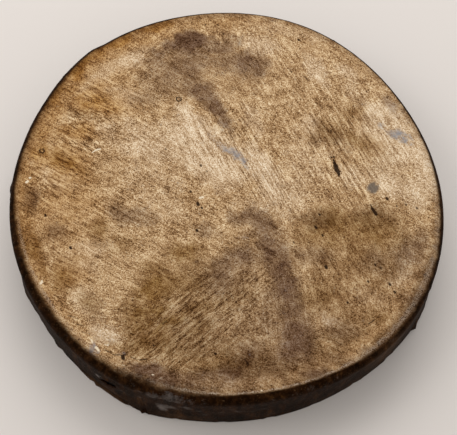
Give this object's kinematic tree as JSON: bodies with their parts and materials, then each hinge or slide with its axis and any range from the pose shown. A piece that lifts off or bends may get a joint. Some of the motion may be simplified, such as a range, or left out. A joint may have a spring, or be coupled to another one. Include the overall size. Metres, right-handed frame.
{
  "type": "frame drum",
  "caption": "Single-headed ceremonial frame drum: an old hide head stretched and turned over a shallow hoop of bent wood, open at the back.",
  "frame": {"origin": "on the floor under the middle of the drum's box, at the plane of the open back", "axes": "+Z out of the struck face of the head, +Y towards the head's dark stain, +X to its right as seen from in front"},
  "size_m": [0.4182, 0.4196, 0.068],
  "materials": {
    "hoop_wood": "bent hardwood, smoke-darkened, bare and hand-worn",
    "hide": "scraped rawhide, matte, stained and scratched, tan on the head and nearly black-brown round the side"
  },
  "bodies": {
    "root": {"hoop": "hoop_wood", "hide_head": "hide"}
  },
  "joints": []
}
